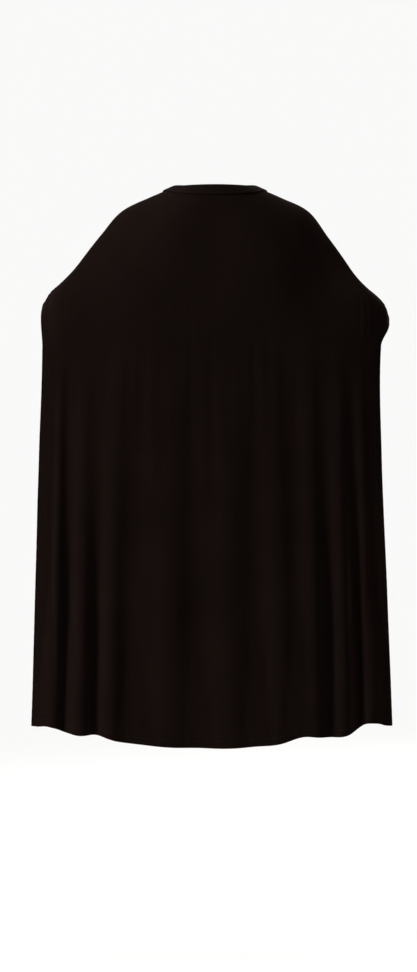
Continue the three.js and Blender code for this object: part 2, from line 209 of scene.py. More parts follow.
def neck_point(side, angle, lap):
    """The neckline's point at an angle from the nape, in degrees: 180 is the throat."""
    turn = math.radians(angle)
    front = max(0, angle - 90) / 90
    drop = THROAT_DROP * (1 - math.cos(math.pi * front)) / 2
    depth = NECK_HALF_DEPTH - lap * front
    return [side * NECK_HALF_WIDTH * math.sin(turn), -depth * math.cos(turn), -drop]


def hanging_knots(arm, place, depths):
    """A rail's knots from the split line down. place is its share of the half width."""
    upper = SPLIT_HALF_WIDTH + arm["flare"]
    middle = (upper + HEM_HALF_WIDTH) / 2
    hem = HEM_LEVEL + HEM_RISE * place * place
    widths = [SPLIT_HALF_WIDTH, upper, middle, HEM_HALF_WIDTH]
    levels = [SPLIT_LEVEL * (1 - share) + hem * share for share in FALL_SHARES]
    return [[arm["side"] * place * w, y, z] for w, y, z in zip(widths, depths, levels)]


def rail(arm, angle, points, place, depths):
    """A rail from the neckline at an angle, through points given for the wearer's right side."""
    side = arm["side"]
    worn = [[side * x, y, z] for x, y, z in points]
    return [neck_point(side, angle, arm["lap"])] + worn + hanging_knots(arm, place, depths)


def side_rails(arm):
    """One side's rails, from the shoulder blade out to the free edge."""
    reach, drop, lap = arm["reach"], arm["drop"], arm["lap"]
    throat = 180 - math.degrees(math.asin(THROAT_HALF_GAP / NECK_HALF_WIDTH))
    blade = rail(arm, 42, [
        (50, -50, -21),
        (65, -64, -50),
        (80, -76, -86),
        (93, -85, -122),
        (102, -91, -153),
        (107, -95, -176),
    ], 0.52, [-97, -101, -105, -108])
    crest = rail(arm, 88, [
        (83, -3, -11),
        (115, -9, -28),
        (138, -18, -56 - 0.2 * drop),
        (164, -33, -93 - 0.3 * drop),
        (182, -60, -128 - 0.4 * drop),
        (183, -77, -160 - 0.4 * drop),
    ], 0.86, [-86, -90, -92, -94])
    front = rail(arm, 130, [
        (66, 28, -28),
        (100, 17, -41),
        (129, 3, -65 - 0.2 * drop),
        (161, -15, -97 - 0.3 * drop),
        (reach - 10, -41, -128 - 0.6 * drop),
        (reach - 7, -62, -157 - 0.8 * drop),
    ], 0.94, [-81, -84, -86, -87])
    edge = rail(arm, throat, [
        (25, 47 - lap, -60),
        (68, 38, -74),
        (110, 21, -84),
        (152, -1, -104 - 0.2 * drop),
        (reach - 9, -27, -134 - 0.6 * drop),
        (reach, -52, -152 - 0.9 * drop),
    ], 1, [-76, -78, -80, -80])
    return [blade, crest, front, edge]


def all_rails():
    centre = rail(RIGHT_ARM, 0, [
        (0, -61, -29),
        (0, -73, -60),
        (0, -84, -93),
        (0, -92, -127),
        (0, -97, -156),
        (0, -100, -176),
    ], 0, [-101, -105, -109, -112])
    left = side_rails(LEFT_ARM)
    right = side_rails(RIGHT_ARM)
    return np.array(left[::-1] + [centre] + right, float)


def smooth(start, stop, value):
    """A soft step from 0 at start to 1 at stop."""
    t = np.clip((value - start) / (stop - start), 0, 1)
    return t * t * (3 - 2 * t)


def curve_through(knots, values, at):
    """A smooth curve through values at uneven knots, for many places at once."""
    knots = np.asarray(knots, float)
    gaps = np.diff(knots)
    wide = (slice(None),) + (None,) * (values.ndim - 1)
    slopes = np.empty_like(values)
    slopes[1:-1] = (values[2:] - values[:-2]) / (knots[2:] - knots[:-2])[wide]
    slopes[0] = (values[1] - values[0]) / gaps[0]
    slopes[-1] = (values[-1] - values[-2]) / gaps[-1]
    k = np.clip(np.searchsorted(knots, at) - 1, 0, len(gaps) - 1)
    t = ((at - knots[k]) / gaps[k])[wide]
    rise = values[k + 1] - values[k]
    m0 = slopes[k] * gaps[k][wide]
    m1 = slopes[k + 1] * gaps[k][wide]
    return values[k] + t * (m0 + t * (3 * rise - 2 * m0 - m1 + t * (m0 + m1 - 2 * rise)))


def bumps(shapes, x, grown):
    """Rounded bumps of (place, half width, size), growing and spreading apart towards the hem."""
    spread = 1 - FOLD_SPREAD * (1 - grown)
    height = np.zeros_like(x)
    for place, width, size in shapes:
        height += size * np.exp(-(((x - place * spread) / width) ** 2))
    return height * grown


def draped_surface(across, down):
    """Points of the cloth, rows by columns, in metres."""
    rails = all_rails()
    rows = curve_through(KNOTS_DOWN, rails.transpose(1, 0, 2), down)
    points = curve_through(RAIL_PLACES, rows.transpose(1, 0, 2), across).transpose(1, 0, 2)
    points[..., 0] += SIDE_SHIFT * smooth(*SHIFT_DEPTHS, -points[..., 2])
    grown = smooth(-FOLD_TOP, -FOLD_FULL, -points[..., 2])
    points[..., 1] += bumps(VALLEYS, points[..., 0], grown) - bumps(FOLDS, points[..., 0], grown)
    points[..., 2] += bumps(SCALLOPS, points[..., 0], grown)
    return points * MM


# ---- the cloth as a grid

COLUMNS = 240
ROWS = 190
EDGE_CROWDING = 0.35  # how much closer together the columns are at the free edges
HEM_CROWDING = 0.55  # and the rows at the hem
CLOTH_THICKNESS = 0.3 * MM
SLIVER = 1e-6  # keeps a sample inside the grid's last cell


def unit(vectors):
    return vectors / np.maximum(np.linalg.norm(vectors, axis=-1, keepdims=True), TINY)


def places_across(count):
    even = np.linspace(-1, 1, count + 1)
    return even + EDGE_CROWDING * np.sin(math.pi * even) / math.pi


def places_down(count):
    even = np.linspace(0, 1, count + 1)
    return HEM_DOWN * (even + HEM_CROWDING * np.sin(math.pi * even) / math.pi * even)


def lengths_along(points, axis):
    """Distances along a grid's columns (axis 0) or rows (axis 1), from its first point."""
    steps = np.linalg.norm(np.diff(points, axis=axis), axis=2)
    start = np.zeros((points.shape[0], 1)) if axis else np.zeros((1, points.shape[1]))
    return np.concatenate([start, np.cumsum(steps, axis=axis)], axis=axis)


def line_lengths(line):
    """Distances along a line of points, from its first point."""
    return np.concatenate([[0], np.cumsum(np.linalg.norm(np.diff(line, axis=0), axis=1))])


class Cloth:
    """The finished cloth surface, as rows and columns of points, for the pieces sewn to it."""

    def __init__(self, points):
        self.points = points
        self.rows, self.columns = points.shape[0] - 1, points.shape[1] - 1
        along = unit(np.gradient(points, axis=1))
        fall = unit(np.gradient(points, axis=0))
        self.out = unit(np.cross(fall, along))
        self.across = lengths_along(points, 1)
        self.down = lengths_along(points, 0)

    def sample(self, grid, row, column):
        row = np.clip(row, 0, self.rows - SLIVER)
        column = np.clip(column, 0, self.columns - SLIVER)
        r, c = np.floor(row).astype(int), np.floor(column).astype(int)
        fr, fc = (row - r)[..., None], (column - c)[..., None]
        top = grid[r, c] * (1 - fc) + grid[r, c + 1] * fc
        low = grid[r + 1, c] * (1 - fc) + grid[r + 1, c + 1] * fc
        return top * (1 - fr) + low * fr

    def along_edge(self, edge, insets):
        """Points and outward normals beside an edge, stations by insets, at distances in from it.

        edge is "neck", "hem", "left" or "right", and a distance below zero lies beyond the edge."""
        sideways = edge in ("left", "right")
        lengths = self.across if sideways else self.down.T
        if edge in ("right", "hem"):
            lengths = lengths[:, -1:] - lengths[:, ::-1]
        stations, steps = lengths.shape
        inside = np.maximum(insets, 0)
        place = np.array([np.interp(inside, lengths[s], np.arange(steps)) for s in range(stations)])
        if edge in ("right", "hem"):
            place = steps - 1 - place
        station = np.broadcast_to(np.arange(stations, dtype=float)[:, None], place.shape)
        row, column = (station, place) if sideways else (place, station)
        base = self.sample(self.points, row, column)
        out = unit(self.sample(self.out, row, column))
        first, second = {"left": (0, 1), "right": (-1, -2), "neck": (0, 1), "hem": (-1, -2)}[edge]
        if sideways:
            beyond = unit(self.points[:, first] - self.points[:, second])
        else:
            beyond = unit(self.points[first] - self.points[second])
        return base + beyond[:, None] * np.maximum(-insets, 0)[None, :, None], out


def mesh_object(name, points, faces, material=None):
    mesh = bpy.data.meshes.new(name)
    mesh.from_pydata(np.asarray(points, float).tolist(), [], faces)
    mesh.update()
    mesh.polygons.foreach_set("use_smooth", [True] * len(mesh.polygons))
    if material:
        mesh.materials.append(material)
    return add_object(name, mesh)


def grid_faces(rows, columns):
    """Quads facing away from the wearer, for points in rows by columns."""
    start = np.arange(rows)[:, None] * (columns + 1) + np.arange(columns)[None]
    corners = [start, start + columns + 1, start + columns + 2, start + 1]
    return np.stack(corners, axis=-1).reshape(-1, 4).tolist()


def set_cloth_map(piece, values):
    """values: one (across, down) in metres for each vertex."""
    layer = piece.data.uv_layers.new(name="cloth")
    index = np.empty(len(piece.data.loops), np.int32)
    piece.data.loops.foreach_get("vertex_index", index)
    layer.data.foreach_set("uv", np.asarray(values, np.float32)[index].ravel())


def thicken(piece, thickness):
    """Give a sheet of faces its thickness, half to each side."""
    thick = piece.modifiers.new("thickness", "SOLIDIFY")
    thick.thickness = thickness
    thick.offset = 0
    graph = bpy.context.evaluated_depsgraph_get()
    baked = bpy.data.meshes.new_from_object(piece.evaluated_get(graph), depsgraph=graph)
    old = piece.data
    piece.modifiers.clear()
    piece.data = baked
    bpy.data.meshes.remove(old)
    baked.name = piece.name


# ---- how the cloth settles

SETTLE_COLUMNS = 110
SETTLE_ROWS = 130
SETTLE_FRAMES = 26
HELD_ABOVE = -0.120  # the shoulders and arms hold the cloth above this level
FREE_BELOW = -0.300
NECK_BAND = 0.03  # width of the band along the neckline that is pinned
HOLD_ON_BODY = 0.48
SPARE_ON_BODY = 0.003
SPARE_WIDTH = 0.035  # how much wider the hanging cloth is cut than its smooth drape
SPARE_AT_MIDDLE = 0.3  # share of the spare width at the middle of the back, and what the sides add
SPARE_AT_SIDES = 0.9
SPARE_HALF_WIDTH = 0.2
MOST_SETTLED = 0.016  # the furthest that a point may move
CLOTH_RULES = {
    "vertex_group_mass": "held",
    "quality": 7,
    "mass": 0.12,
    "tension_stiffness": 12,
    "compression_stiffness": 12,
    "shear_stiffness": 4,
    "bending_stiffness": 0.2,
    "air_damping": 2,
    "pin_stiffness": 1,
}


def settle(points):
    """How the hanging cloth moves under its own weight, simulated on a coarse grid."""
    rows, columns = points.shape[0] - 1, points.shape[1] - 1
    flat = points.reshape(-1, 3)
    piece = mesh_object("settling_cloth", flat, grid_faces(rows, columns))
    held = piece.vertex_groups.new(name=CLOTH_RULES["vertex_group_mass"])
    neck = 1 - smooth(0.0, NECK_BAND, lengths_along(points, 0).ravel())
    free = smooth(-HELD_ABOVE, -FREE_BELOW, -flat[:, 2])
    worn = HOLD_ON_BODY * (1 - free)
    for index, weight in enumerate(np.maximum(neck, worn)):
        held.add([index], float(weight), "REPLACE")
    piece.shape_key_add(name="drape")
    cut = piece.shape_key_add(name="cut")
    wider = flat.copy()
    spare = SPARE_ON_BODY * (1 - neck) * (1 - free) + SPARE_WIDTH * free
    outwards = (flat[:, 0] / SPARE_HALF_WIDTH) ** 2
    wider[:, 0] *= 1 + spare * (SPARE_AT_MIDDLE + SPARE_AT_SIDES * outwards)
    cut.data.foreach_set("co", wider.ravel())
    modifier = piece.modifiers.new("cloth", "CLOTH")
    modifier.point_cache.frame_start = 1
    modifier.point_cache.frame_end = SETTLE_FRAMES
    modifier.settings.rest_shape_key = cut
    for rule, value in CLOTH_RULES.items():
        setattr(modifier.settings, rule, value)
    modifier.collision_settings.use_self_collision = False
    scene = bpy.context.scene
    for step in range(1, SETTLE_FRAMES + 1):
        scene.frame_set(step)
    settled = piece.evaluated_get(bpy.context.evaluated_depsgraph_get())
    found = np.empty(flat.size)
    settled.data.vertices.foreach_get("co", found)
    moves = found.reshape(-1, 3) - flat
    scene.frame_set(1)
    discard(piece)
    length = np.linalg.norm(moves, axis=1, keepdims=True)
    moves *= np.minimum(1, MOST_SETTLED / np.maximum(length, TINY))
    return keep_outline(moves.reshape(points.shape))


def keep_outline(moves):
    """The same moves without the part that would draw the free edges in or let the hem sag.

    The moves in depth stay as they are."""
    share = np.linspace(0, 1, moves.shape[1])
    sideways, upwards = moves[..., 0], moves[..., 2]
    sideways -= sideways[:, :1] * (1 - share) + sideways[:, -1:] * share
    bends = np.vander(share, 4)
    upwards -= np.linalg.lstsq(bends, upwards.T, rcond=None)[0].T @ bends.T
    return moves


def spread_moves(moves, rows, columns):
    """The coarse grid's moves, carried smoothly over to a finer one."""
    down = curve_through(np.linspace(0, rows, moves.shape[0]), moves, np.arange(rows + 1))
    across = down.transpose(1, 0, 2)
    fine = curve_through(np.linspace(0, columns, moves.shape[1]), across, np.arange(columns + 1))
    return fine.transpose(1, 0, 2)


# ---- seams puckering the cloth

HEM_STITCH_INSET = 8 * MM
PUCKER_LENGTH = 13 * MM
PUCKER_HEIGHT = 0.3 * MM
PUCKER_REACH = 7 * MM
PUCKER_LAG = 5 * MM  # sets the right edge's puckers off from the left edge's
PUCKERS_FROM = 20 * MM  # the edges' puckers grow to their full height this far below the neckline
STITCH_GROOVE = 0.15 * MM
GROOVE_REACH = 1.2 * MM
UPRIGHT_RIPPLES = np.array([34, 20, 5.5])  # how close the ripples stand along x, y and z
UPRIGHT_HEIGHT = 1.1
CROSS_RIPPLES = np.array([15, 15, 17])
CROSS_HEIGHT = 0.55
CROSS_SHIFT = 9  # keeps the cross ripples unlike the upright ones
RIPPLES_ON_BODY = 0.35  # share of the ripples' height over the shoulders
RIPPLES_GROW_BELOW = 0.18
RIPPLES_GROW_OVER = 0.2


def seam_pucker(along, inset):
    """How far the cloth stands out beside a stitched line, a distance in from an edge."""
    wander = 0.35 * np.sin(along / (31 * MM)) + 0.25 * np.sin(along / (12.3 * MM) + 1)
    wave = np.sin(2 * math.pi * along / PUCKER_LENGTH + 3 * wander)
    reach = np.exp(-(((inset - HEM_STITCH_INSET) / PUCKER_REACH) ** 2))
    groove = np.exp(-(((inset - HEM_STITCH_INSET) / GROOVE_REACH) ** 2))
    return PUCKER_HEIGHT * wave * reach - STITCH_GROOVE * groove


def soft_waves(points):
    """Faint unevenness of thin cloth: long upright ripples where it hangs, less over the shoulders."""
    heights = np.empty(points.shape[:2])
    for row in range(points.shape[0]):
        for column in range(points.shape[1]):
            point = points[row, column]
            hanging = min(max((-point[2] - RIPPLES_GROW_BELOW) / RIPPLES_GROW_OVER, 0), 1)
            free = RIPPLES_ON_BODY + (1 - RIPPLES_ON_BODY) * hanging
            upright = noise.noise(Vector(point * UPRIGHT_RIPPLES))
            cross = noise.noise(Vector(point * CROSS_RIPPLES + (CROSS_SHIFT, 0, 0)))
            ripple = UPRIGHT_HEIGHT * upright + CROSS_HEIGHT * cross
            heights[row, column] = free * ripple * MM
    return heights


def make_drape():
    across, down = places_across(COLUMNS), places_down(ROWS)
    points = draped_surface(across, down)
    coarse = draped_surface(places_across(SETTLE_COLUMNS), places_down(SETTLE_ROWS))
    points = points + spread_moves(settle(coarse), ROWS, COLUMNS)
    rough = Cloth(points)
    heights = soft_waves(points)
    fade = smooth(0, PUCKERS_FROM, rough.down)
    heights *= fade
    heights += seam_pucker(rough.across, rough.down[-1:] - rough.down)
    heights += seam_pucker(rough.down, rough.across) * fade
    from_right = rough.across[:, -1:] - rough.across
    heights += seam_pucker(rough.down + PUCKER_LAG, from_right) * fade
    return Cloth(points + rough.out * heights[..., None])


# ---- builders for sewn pieces

FOLD_END_SHARE = 0.55  # how thick a folded ribbon is at its raw ends
TUBE_GUIDE = np.array([0.31, 0.52, 0.79])  # a direction that no thread runs along


def ribbon_sides(path, thickness):
    """Both sides of a folded ribbon's section. path: (inset, offset, lift) in millimetres."""
    path = np.array(path, float)
    run = np.gradient(path[:, :2], axis=0)
    run /= np.linalg.norm(run, axis=1, keepdims=True)
    across = np.stack([-run[:, 1], run[:, 0]], axis=1)
    half = np.full(len(path), thickness / 2)
    half[[0, -1]] *= FOLD_END_SHARE
    one = path.copy()
    two = path.copy()
    one[:, :2] += across * half[:, None]
    two[:, :2] -= across * half[:, None]
    return np.concatenate([one, two[::-1]])


def arc(centre, radii, start, stop, steps, lifts=(0, 0)):
    """Points of a fold's round, as (inset, offset, lift), from one angle to another in degrees."""
    made = []
    for step in range(steps + 1):
        share = step / steps
        turn = math.radians(start + (stop - start) * share)
        lift = lifts[0] + (lifts[1] - lifts[0]) * share
        place = (centre[0] + radii[0] * math.cos(turn), centre[1] + radii[1] * math.sin(turn))
        made.append((*place, lift))
    return made


def edge_ribbon(name, cloth, edge, path, thickness, material, lift=0.0, past_ends=0.0):
    """Folded cloth running along an edge. lift raises the path's lifted points at each station."""
    section = ribbon_sides(path, thickness) * MM
    base, out = cloth.along_edge(edge, section[:, 0])
    stations, around = base.shape[:2]
    rise = np.broadcast_to(lift, stations)[:, None]
    offset = section[None, :, 1] - section[None, :, 2] * rise
    rings = base + out * offset[..., None]
    rings[0] += unit(rings[0] - rings[1]) * past_ends
    rings[-1] += unit(rings[-1] - rings[-2]) * past_ends
    half = around // 2
    faces = []
    for station in range(stations - 1):
        a, b = station * around, (station + 1) * around
        for k in range(around):
            n = (k + 1) % around
            faces.append([a + k, b + k, b + n, a + n])
    last = (stations - 1) * around
    for k in range(half - 1):
        cap = [k, k + 1, around - 2 - k, around - 1 - k]
        faces.append(cap)
        faces.append([last + corner for corner in cap[::-1]])
    piece = mesh_object(name, rings.reshape(-1, 3), faces, material)
    point_outwards(piece)
    along = line_lengths(rings[:, 0])[:, None]
    around_fold = line_lengths(section[:, :2])[None]
    grid = np.stack(np.broadcast_arrays(along, around_fold), axis=-1)
    set_cloth_map(piece, grid.reshape(-1, 2))
    return piece


def point_outwards(piece):
    build = bmesh.new()
    build.from_mesh(piece.data)
    bmesh.ops.recalc_face_normals(build, faces=build.faces)
    build.to_mesh(piece.data)
    build.free()


def band_faces(first, around):
    """Quads between one ring of points and the next."""
    made = []
    for k in range(around):
        n = (k + 1) % around
        made.append([first + k, first + n, first + around + n, first + around + k])
    return made


def tubes(name, paths, radii, sides, material):
    """Many small round threads in one mesh. paths: threads by points by 3."""
    count, steps = paths.shape[:2]
    run = unit(np.gradient(paths, axis=1))
    side = unit(np.cross(run, TUBE_GUIDE))
    top = np.cross(side, run)
    turn = (np.arange(sides) * 2 * math.pi / sides)[:, None]
    wheel = side[:, :, None] * np.cos(turn) + top[:, :, None] * np.sin(turn)
    points = paths[:, :, None] + wheel * np.asarray(radii)[None, :, None, None]
    faces = []
    for thread in range(count):
        start = thread * steps * sides
        for step in range(steps - 1):
            faces += band_faces(start + step * sides, sides)
        faces.append([start + k for k in range(sides)][::-1])
        faces.append([start + (steps - 1) * sides + k for k in range(sides)])
    piece = mesh_object(name, points.reshape(-1, 3), faces, material)
    point_outwards(piece)
    return piece


THREAD_RADIUS = 0.17 * MM
THREAD_SIDES = 6
THREAD_TAPER = (0.7, 1, 1, 1, 1, 0.7)
STITCH_LENGTH = 2.6 * MM
STITCH_PITCH = 3.1 * MM
STITCH_SHARES = (0, 0.1, 0.35, 0.65, 0.9, 1)  # the places of a stitch's points along it
STITCH_HEIGHTS = np.array([-0.22, 0.1, 0.2, 0.2, 0.1, -0.22]) * MM  # and their heights above the cloth


def stitches_along(line, outs):
    """Paths of a row of stitches along a line of points, standing on the side the normals face."""
    lengths = line_lengths(line)
    count = int((lengths[-1] - STITCH_LENGTH) / STITCH_PITCH) + 1
    margin = (lengths[-1] - (count - 1) * STITCH_PITCH - STITCH_LENGTH) / 2
    starts = margin + np.arange(count) * STITCH_PITCH
    places = starts[:, None] + np.array(STITCH_SHARES)[None] * STITCH_LENGTH
    centre = np.stack([np.interp(places, lengths, line[:, axis]) for axis in range(3)], axis=-1)
    out = unit(np.stack([np.interp(places, lengths, outs[:, axis]) for axis in range(3)], axis=-1))
    return centre + out * STITCH_HEIGHTS[None, :, None]


def stitch_piece(name, rows, material):
    """One piece of thread from rows of (line, normals)."""
    paths = np.concatenate([stitches_along(line, outs) for line, outs in rows])
    radii = [THREAD_RADIUS * share for share in THREAD_TAPER]
    return tubes(name, paths, radii, THREAD_SIDES, material)


def seam_on_edge(name, cloth, edge, offsets, material, lift=0.0):
    """The same seam seen on both faces: offsets are the outer and the inner face's heights."""
    base, out = cloth.along_edge(edge, np.array([HEM_STITCH_INSET]))
    line, normal = base[:, 0], out[:, 0]
    inner = offsets[1] - np.broadcast_to(lift, len(line)) * MM
    rows = [(line + normal * offsets[0], normal), (line + normal * inner[:, None], -normal)]
    return stitch_piece(name, rows, material)


def rounded_outline(width, height, corner, steps=6):
    """A rounded rectangle in its own plane, anticlockwise."""
    points = []
    corner = min(corner, width / 2, height / 2)
    for quarter, (sx, sz) in enumerate([(1, 1), (-1, 1), (-1, -1), (1, -1)]):
        for step in range(steps + 1):
            turn = math.pi / 2 * (quarter + step / steps)
            x = sx * (width / 2 - corner) + corner * math.cos(turn)
            z = sz * (height / 2 - corner) + corner * math.sin(turn)
            points.append((x, z))
    return points


EDGE_TURNS = (0, 30, 60, 90)  # degrees round a plate's edge
FACE_RINGS = (0.3, 0.65, 1)  # the rings on its face, as shares of the way in
FACE_REACH = 0.9
LEAST_CORNER = 0.2 * MM


def soft_plate(name, low, high, corner, round_edge, material):
    """A sewn flat piece with rounded corners and edges, between two corners of its box in metres."""
    centre = (np.array(low) + np.array(high)) / 2
    width, depth, height = np.array(high) - np.array(low)
    half = depth / 2
    rings = []
    for turn in EDGE_TURNS:
        inset = round_edge * (1 - math.cos(math.radians(turn)))
        rings.append((inset, half * math.sin(math.radians(turn))))
    for share in FACE_RINGS:
        rings.append((round_edge + share * (height / 2 - round_edge) * FACE_REACH, half))
    levels = [(inset, -y) for inset, y in rings[::-1]] + rings[1:]
    points = []
    for inset, y in levels:
        round_corner = max(corner - inset, LEAST_CORNER)
        for x, z in rounded_outline(width - 2 * inset, height - 2 * inset, round_corner):
            points.append((centre[0] + x, centre[1] + y, centre[2] + z))
    around = len(points) // len(levels)
    faces = []
    for level in range(len(levels) - 1):
        faces += band_faces(level * around, around)
    faces.append(list(range(around))[::-1])
    faces.append(list(range((len(levels) - 1) * around, len(levels) * around)))
    piece = mesh_object(name, points, faces, material)
    point_outwards(piece)
    set_cloth_map(piece, [(p[0], p[2]) for p in points])
    return piece


def rectangle_seam(centre, y, width, height, facing):
    """A closed box of stitching on a flat piece, as lines and normals for stitch_piece."""
    x, z = centre
    corners = [(-1, -1), (1, -1), (1, 1), (-1, 1), (-1, -1)]
    places = np.array([(x + sx * width / 2, y, z + sz * height / 2) for sx, sz in corners])
    normal = np.array([0, facing, 0], float)
    return [(places[k : k + 2], np.array([normal, normal])) for k in range(4)]


# ---- materials

CLOTH_COLOUR = (0.0072, 0.0042, 0.0034)
BINDING_COLOUR = (0.0077, 0.0046, 0.0038)
THREAD_COLOUR = (0.0062, 0.0034, 0.0028)
TAPE_COLOUR = (0.030, 0.028, 0.028)
HOOK_COLOUR = (0.0095, 0.0092, 0.0094)
LOOP_COLOUR = (0.0078, 0.0070, 0.0068)
LABEL_COLOUR = (0.62, 0.60, 0.55)

WEAVE_PITCH = 0.62 * MM
BIAS_PITCH = 0.8 * MM
PLY_PITCH = 0.45 * MM
TAPE_PITCH = 1.1 * MM
TAPE_SLANT = 0.6
SATIN_PITCH = 0.42 * MM
SELVEDGE = (11.3 * MM, 11.9 * MM)  # where the label's selvedge starts, from the middle of the ribbon

# The values that a fine noise, a broad noise, a wave and a mask take.
FINE = (0.2, 0.8)
BROAD = (0.25, 0.75)
WAVE = (-1.0, 1.0)
MASK = (0.0, 1.0)


class Surface:
    """A Principled material being wired up. Constants go straight on the shader's own sockets."""

    def __init__(self, name, constants):
        self.material = bpy.data.materials.new(name)
        self.material.use_nodes = True
        self.nodes = self.material.node_tree.nodes
        self.links = self.material.node_tree.links
        self.shader = self.nodes["Principled BSDF"]
        for socket, value in constants.items():
            self.shader.inputs[socket].default_value = value

    def feed(self, node, socket, value):
        if isinstance(value, bpy.types.NodeSocket):
            self.links.new(value, node.inputs[socket])
        else:
            node.inputs[socket].default_value = value

    def map(self):
        node = self.nodes.new("ShaderNodeUVMap")
        node.uv_map = "cloth"
        return node.outputs["UV"]

    def place(self):
        return self.nodes.new("ShaderNodeTexCoord").outputs["Object"]

    def axes(self, vector):
        node = self.nodes.new("ShaderNodeSeparateXYZ")
        self.feed(node, 0, vector)
        return node.outputs

    def sum(self, operation, one, two=0.0):
        node = self.nodes.new("ShaderNodeMath")
        node.operation = operation
        self.feed(node, 0, one)
        self.feed(node, 1, two)
        return node.outputs[0]

    def scaled(self, vector, scale):
        node = self.nodes.new("ShaderNodeMapping")
        node.inputs["Scale"].default_value = scale
        self.feed(node, "Vector", vector)
        return node.outputs[0]

    def noise(self, vector, scale, detail=2.0):
        node = self.nodes.new("ShaderNodeTexNoise")
        node.inputs["Scale"].default_value = scale
        node.inputs["Detail"].default_value = detail
        self.feed(node, "Vector", vector)
        return node.outputs["Fac"]

    def ridges(self, distance, pitch):
        """A wave from -1 to 1 with one crest every pitch."""
        return self.sum("SINE", self.sum("MULTIPLY", distance, 2 * math.pi / pitch))

    def ranged(self, value, low, high, taken):
        """A value brought from the range that it takes to one from low to high."""
        node = self.nodes.new("ShaderNodeMapRange")
        self.feed(node, "Value", value)
        sockets = ("From Min", "From Max", "To Min", "To Max")
        for socket, number in zip(sockets, (*taken, low, high)):
            node.inputs[socket].default_value = number
        return node.outputs[0]

    def colour(self, base, *shades):
        """The base colour, darkened and lightened by (value, low, high, range taken) round one."""
        factors = [self.ranged(*shade) for shade in shades]
        total = factors[0]
        for factor in factors[1:]:
            total = self.sum("MULTIPLY", total, factor)
        node = self.nodes.new("ShaderNodeVectorMath")
        node.operation = "SCALE"
        node.inputs[0].default_value = base
        self.feed(node, "Scale", total)
        self.links.new(node.outputs["Vector"], self.shader.inputs["Base Color"])

    def rough(self, *shade):
        self.links.new(self.ranged(*shade), self.shader.inputs["Roughness"])

    def relief(self, *layers):
        """Bump from layers of (height, depth in millimetres, strength), coarsest first."""
        normal = None
        for height, depth, strength in layers:
            node = self.nodes.new("ShaderNodeBump")
            node.inputs["Distance"].default_value = depth * MM
            node.inputs["Strength"].default_value = strength
            self.feed(node, "Height", height)
            if normal:
                self.links.new(normal, node.inputs["Normal"])
            normal = node.outputs["Normal"]
        self.links.new(normal, self.shader.inputs["Normal"])


def thin_cloth():
    """The cape's thin plain weave: crossing threads, uneven slubs both ways and a faint sheen."""
    surface = Surface("thin_black_cloth", {
        "Sheen Weight": 0.05,
        "Sheen Roughness": 0.35,
        "Sheen Tint": (1.0, 0.72, 0.62, 1),
        "Specular IOR Level": 0.0,
    })
    where = surface.map()
    axes = surface.axes(where)
    warp = surface.ridges(axes["X"], WEAVE_PITCH)
    weft = surface.ridges(axes["Y"], WEAVE_PITCH)
    weave = surface.sum("MULTIPLY", warp, weft)
    slubs = surface.noise(surface.scaled(where, (700, 16, 1)), 1.0, 3.0)
    cross_slubs = surface.noise(surface.scaled(where, (18, 620, 1)), 1.0, 3.0)
    dye = surface.noise(where, 11.0, 5.0)
    surface.colour(
        CLOTH_COLOUR,
        (dye, 0.84, 1.16, BROAD),
        (slubs, 0.86, 1.14, FINE),
        (cross_slubs, 0.93, 1.07, FINE),
        (weave, 0.72, 1.28, WAVE),
    )
    surface.rough(slubs, 0.62, 0.8, FINE)
    surface.relief((slubs, 0.18, 0.4), (cross_slubs, 0.12, 0.3), (weave, 0.07, 0.8))
    return surface.material


def binding_cloth():
    """Bias-cut binding: the ribs of the cloth run slantwise along the strip."""
    surface = Surface("bias_binding", {
        "Sheen Weight": 0.06,
        "Sheen Roughness": 0.35,
        "Sheen Tint": (1.0, 0.74, 0.65, 1),
        "Specular IOR Level": 0.0,
    })
    where = surface.map()
    axes = surface.axes(where)
    warp = surface.ridges(surface.sum("ADD", axes["X"], axes["Y"]), BIAS_PITCH)
    weft = surface.ridges(surface.sum("SUBTRACT", axes["X"], axes["Y"]), BIAS_PITCH)
    weave = surface.sum("MULTIPLY", warp, weft)
    slubs = surface.noise(surface.scaled(where, (260, 260, 1)), 1.0, 4.0)
    surface.colour(
        BINDING_COLOUR,
        (slubs, 0.75, 1.25, FINE),
        (weave, 0.75, 1.25, WAVE),
    )
    surface.rough(slubs, 0.5, 0.68, FINE)
    surface.relief((slubs, 0.2, 0.4), (weave, 0.09, 0.8))
    return surface.material


def sewing_thread():
    """Twisted polyester thread: close slanting plies with a little shine."""
    surface = Surface("sewing_thread", {
        "Sheen Weight": 0.03,
        "Specular IOR Level": 0.07,
    })
    where = surface.place()
    axes = surface.axes(where)
    along = surface.sum("ADD", surface.sum("ADD", axes["X"], axes["Y"]), axes["Z"])
    plies = surface.ridges(along, PLY_PITCH)
    fuzz = surface.noise(where, 900.0, 3.0)
    surface.colour(
        THREAD_COLOUR,
        (plies, 0.7, 1.3, WAVE),
        (fuzz, 0.8, 1.2, FINE),
    )
    surface.rough(fuzz, 0.38, 0.55, FINE)
    surface.relief((plies, 0.08, 0.7), (fuzz, 0.05, 0.4))
    return surface.material


def stay_tape():
    """The slant-ribbed tape inside the neck binding."""
    surface = Surface("woven_stay_tape", {
        "Sheen Weight": 0.1,
        "Specular IOR Level": 0.2,
    })
    where = surface.place()
    axes = surface.axes(where)
    slant = surface.sum("MULTIPLY", axes["X"], TAPE_SLANT)
    ribs = surface.ridges(surface.sum("ADD", axes["Z"], slant), TAPE_PITCH)
    fibre = surface.noise(where, 700.0, 3.0)
    surface.colour(
        TAPE_COLOUR,
        (ribs, 0.75, 1.25, WAVE),
        (fibre, 0.8, 1.2, FINE),
    )
    surface.rough(fibre, 0.6, 0.8, FINE)
    surface.relief((ribs, 0.18, 0.8), (fibre, 0.08, 0.5))
    return surface.material


